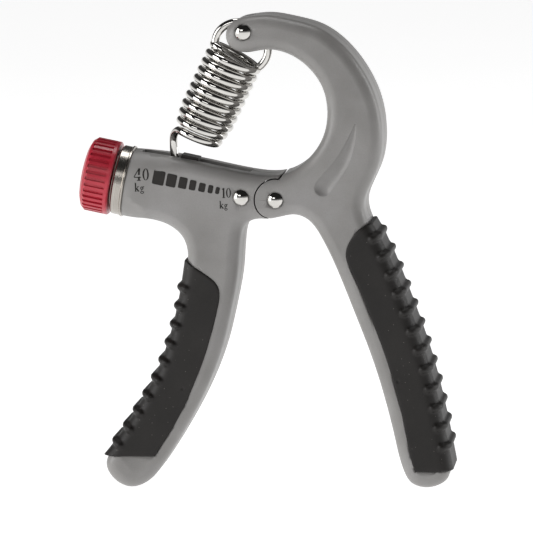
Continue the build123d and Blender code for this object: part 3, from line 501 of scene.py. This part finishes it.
def drawnWord(word, tall, wide):                           # centred on the origin, lying flat
    part = bmesh.new()
    reach = 0.0
    for sign in word:
        drawn = bmesh.new()
        for stroke in signs[sign]["strokes"]:
            addStroke(drawn, *stroke)
        for ring in signs[sign]["rings"]:
            addRing(drawn, *ring)
        addPart(part, drawn, Matrix.Translation((reach, 0, 0)))
        reach += signs[sign]["advance"] + scale["signGap"]
    across = [v.co.x for v in part.verts]
    upward = [v.co.y for v in part.verts]
    low = Vector((min(across), min(upward), 0))
    high = Vector((max(across), max(upward), 0))
    fit = Matrix.Diagonal((wide / (high.x - low.x), tall / (high.y - low.y), 1, 1))
    bmesh.ops.transform(part, matrix=fit @ Matrix.Translation(-(low + high) / 2), verts=part.verts)
    return part


def printScale():
    bm = bmesh.new()
    tilt = Matrix.Rotation(radians(scale["tilt"]), 4, "Y")
    for x, z, wide, tall in scale["bars"]:
        part = bmesh.new()
        made = bmesh.ops.create_grid(part, x_segments=1, y_segments=1, size=0.5)["verts"]
        bmesh.ops.scale(part, verts=made, vec=(wide, tall, 1))
        bmesh.ops.bevel(part, geom=part.verts[:], offset=scale["corner"], affect="VERTICES", segments=5,
                        profile=0.5, material=-1)
        addPart(bm, part, Matrix.Translation((x, scale["castFrom"], z)) @ tilt @ frontView)
    for word, x, z, tall, wide in scale["words"]:
        place = Matrix.Translation((x, scale["castFrom"], z)) @ frontView
        addPart(bm, drawnWord(word, tall, wide), place)
    bmesh.ops.scale(bm, verts=bm.verts, vec=(mm, mm, mm))
    layFilm(bm, "adjuster", "front", scale["film"])
    return bm


finishedMesh("printed_scale", printScale(), ink, "adjuster_handle")
print("scale printed")

# painted shade: dark ring films laid on the faces round each rivet's head, front and back, standing in for
# the shade in the narrow gap between the head and the face under it
seatShadeRings = dict(gap=0.28, ringWide=0.42, film=0.03, castFrom=20.0,
             rivets={"body_rivet": "adjuster", "pivot_rivet": "hook", "tip_rivet": "hook"})


def paintRivetShade(nodeName, handle):
    low, high = (Vector(corner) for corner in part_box(nodeName))
    middle = (low + high) / 2
    radius = (high.x - low.x) / 2 / mm + seatShadeRings["gap"]
    bm = bmesh.new()
    for side in shells["sides"].values():
        ring = bmesh.new()
        addRing(ring, (0, 0), (radius, radius), seatShadeRings["ringWide"], seatShadeRings["ringWide"])
        bmesh.ops.scale(ring, verts=ring.verts, vec=(mm, mm, mm))
        spot = (middle.x, side * seatShadeRings["castFrom"] * mm, middle.z)
        addPart(bm, ring, Matrix.Translation(spot) @ frontView)
    for half in shells["sides"]:
        layFilm(bm, handle, half, seatShadeRings["film"])
    # the rings carry the dark finish that paints the gap's shade
    finishedMesh(nodeName + "_painted_shade", bm, paintedShadeFinish, handle + "_handle")


for nodeName, handle in seatShadeRings["rivets"].items():
    paintRivetShade(nodeName, handle)
print("rivets seated")

# camera: the target and distance are in millimetres, and the angles in degrees
view = dict(target=(-0.03, 0, 61.12), azimuth=7.5, elevation=8.0, roll=-1.38, distance=1000.0, lens=241.6)


def aimCamera():
    azimuth, elevation, roll = (radians(view[angle]) for angle in ("azimuth", "elevation", "roll"))
    back = Vector((sin(azimuth) * cos(elevation), -cos(azimuth) * cos(elevation), sin(elevation)))
    right = Vector((cos(azimuth), sin(azimuth), 0))
    up = back.cross(right)
    rolledRight = right * cos(roll) + up * sin(roll)
    rolledUp = up * cos(roll) - right * sin(roll)
    camera = asObject("camera", bpy.data.cameras.new("camera"))
    camera.data.lens = view["lens"]
    camera.data.clip_end = 20
    spot = (Vector(view["target"]) + back * view["distance"]) * mm
    turn = Matrix((rolledRight, rolledUp, back)).transposed().to_4x4()
    camera.matrix_world = Matrix.Translation(spot) @ turn
    bpy.context.scene.camera = camera


# studio: a pale glowing floor, a sky that is white at the horizon and dimmer in front and overhead,
# and soft boxes, each with its place and size in metres and its power in watts
studio = dict(floorGlow=0.9, floorSize=30, floorShades=(0.42, 0.44), horizon=0.98, zenith=0.06,
              skyBand=(0.1, 0.28), front=0.3, aim=(0, 0, 0.06),
              boxes={"leftBox": ((-1.0, -0.45, 0.35), (0.6, 0.9), 8),
                     "rightBox": ((1.0, 0.35, 0.35), (0.3, 0.8), 4),
                     "frontFill": ((-0.5, -1.6, 0.9), (0.8, 0.4), 3),
                     "topBox": ((0.0, 0.25, 1.2), (0.7, 0.4), 4)})


def softBox(name, spot, size, power):
    light = bpy.data.lights.new(name, "AREA")
    light.shape = "RECTANGLE"
    light.size, light.size_y = size
    light.energy = power
    lamp = asObject(name, light)
    lamp.location = spot
    lamp.rotation_euler = (Vector(studio["aim"]) - Vector(spot)).to_track_quat("-Z", "Y").to_euler()


# matt backdrop paper, lit through so that it stays white, with a faint unevenness
def paleFloor():
    bm = bmesh.new()
    bmesh.ops.create_circle(bm, cap_ends=True, segments=64, radius=studio["floorSize"])
    mesh = bpy.data.meshes.new("floor")
    bm.to_mesh(mesh)
    bm.free()
    glow = {"Roughness": 0.9, "Emission Color": grey(1.0), "Emission Strength": studio["floorGlow"]}
    material, tree, shader, place = newMaterial("paleBackdropPaper", glow)
    cloud = addNode(tree, "ShaderNodeTexNoise", {"Scale": 3.0}, {"Vector": place}).outputs["Fac"]
    dark, light = studio["floorShades"]
    addNode(tree, "ShaderNodeValToRGB", links={"Fac": cloud}, feeds=shader.inputs["Base Color"],
            stops=[(0.4, grey(dark)), (0.6, grey(light))])
    mesh.materials.append(material)
    asObject("floor", mesh)


def studioWorld():
    world = bpy.data.worlds.new("studio")
    world.use_nodes = True
    tree = world.node_tree
    place = addNode(tree, "ShaderNodeTexCoord").outputs["Generated"]
    direction = addNode(tree, "ShaderNodeSeparateXYZ", links={"Vector": place})
    low, high = studio["skyBand"]
    sky = addNode(tree, "ShaderNodeValToRGB", links={"Fac": direction.outputs["Z"]},
                  stops=[(low, grey(studio["horizon"])), (high, grey(studio["zenith"]))])
    side = addNode(tree, "ShaderNodeValToRGB", links={"Fac": direction.outputs["Y"]},
                   stops=[(0.0, grey(studio["front"])), (0.5, grey(1.0))])
    addNode(tree, "ShaderNodeMix", {"Factor": 1.0}, {"A": sky.outputs["Color"], "B": side.outputs["Color"]},
            feeds=tree.nodes["Background"].inputs["Color"], data_type="RGBA", blend_type="MULTIPLY")
    bpy.context.scene.world = world


aimCamera()
paleFloor()
studioWorld()
for boxName, (spot, size, power) in studio["boxes"].items():
    softBox(boxName, spot, size, power)
bpy.context.scene.view_settings.view_transform = "Standard"
print("studio set")
